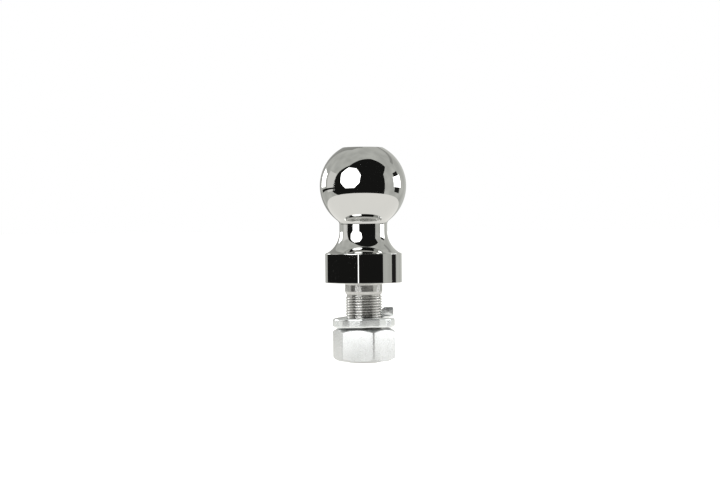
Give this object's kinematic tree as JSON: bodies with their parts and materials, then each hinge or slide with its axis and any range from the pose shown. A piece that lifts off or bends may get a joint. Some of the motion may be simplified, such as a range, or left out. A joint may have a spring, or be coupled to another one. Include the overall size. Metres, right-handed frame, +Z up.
{
  "type": "trailer hitch ball",
  "caption": "Chromed trailer hitch ball on a flanged neck and threaded shank, with a split lock washer and a hex nut run on to the shank's end.",
  "frame": {"origin": "centre of the shank's flat lower end, which the whole stands on", "axes": "+Z up along the shank towards the ball, -Y the front, +X to the right seen from the front"},
  "size_m": [0.0588, 0.0588, 0.1459],
  "materials": {
    "chrome_plate": "mirror",
    "zinc_washer": "satin",
    "zinc_nut": "satin"
  },
  "bodies": {
    "ball": {"hitch_ball": "chrome_plate"},
    "washer": {"lock_washer": "zinc_washer"},
    "nut": {"hex_nut": "zinc_nut"}
  },
  "joints": [
    {"name": "washer_slide", "type": "slide", "parent": "ball", "child": "washer", "axis": [0, 0, 1], "range_m": [-0.038, 0.0166]},
    {"name": "nut_turn", "type": "hinge", "parent": "washer", "child": "nut", "pos_m": [0, 0, 0.01196], "axis": [0, 0, 1], "range_deg": [-7540, 3290]}
  ],
  "couplings": [
    {"joint": "washer_slide", "follows": "nut_turn", "m_per_rad": 0.00028875}
  ]
}
